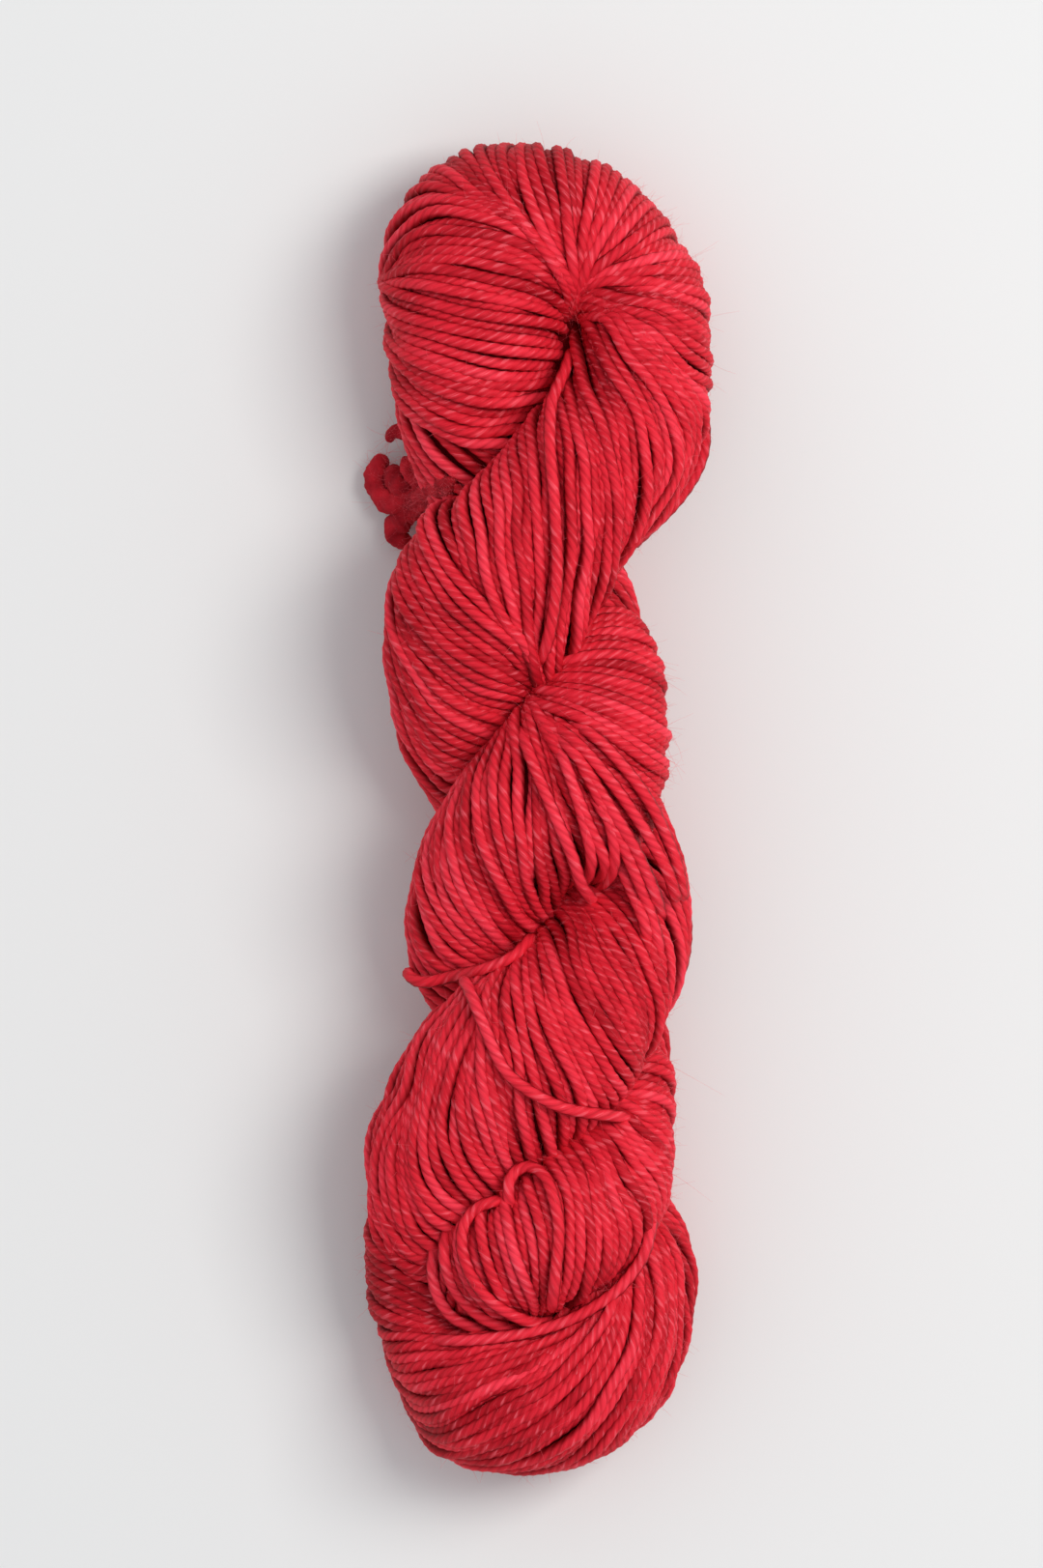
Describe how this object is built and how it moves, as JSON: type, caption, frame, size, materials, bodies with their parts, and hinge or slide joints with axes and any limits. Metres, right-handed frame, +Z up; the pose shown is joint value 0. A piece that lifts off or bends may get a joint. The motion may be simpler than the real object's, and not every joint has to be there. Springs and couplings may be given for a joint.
{
  "type": "skein of yarn",
  "caption": "Twisted skein of plied wool yarn lying on its side: a looped bundle folded in half, twisted on itself and tucked, with the knotted ends of its tie at one side.",
  "frame": {"origin": "on the table, under the middle of the skein's box", "axes": "+Y along the skein towards its folded end, +X across it to the right, +Z up from the table"},
  "size_m": [0.0716, 0.276, 0.05],
  "materials": {
    "yarn": "smooth plied wool, soft sheen, hand-dyed in close tones of red",
    "felted_yarn": "felted, fuzzy wool, matt"
  },
  "bodies": {
    "root": {"hank": "yarn", "tie_knot": "felted_yarn"}
  },
  "joints": []
}
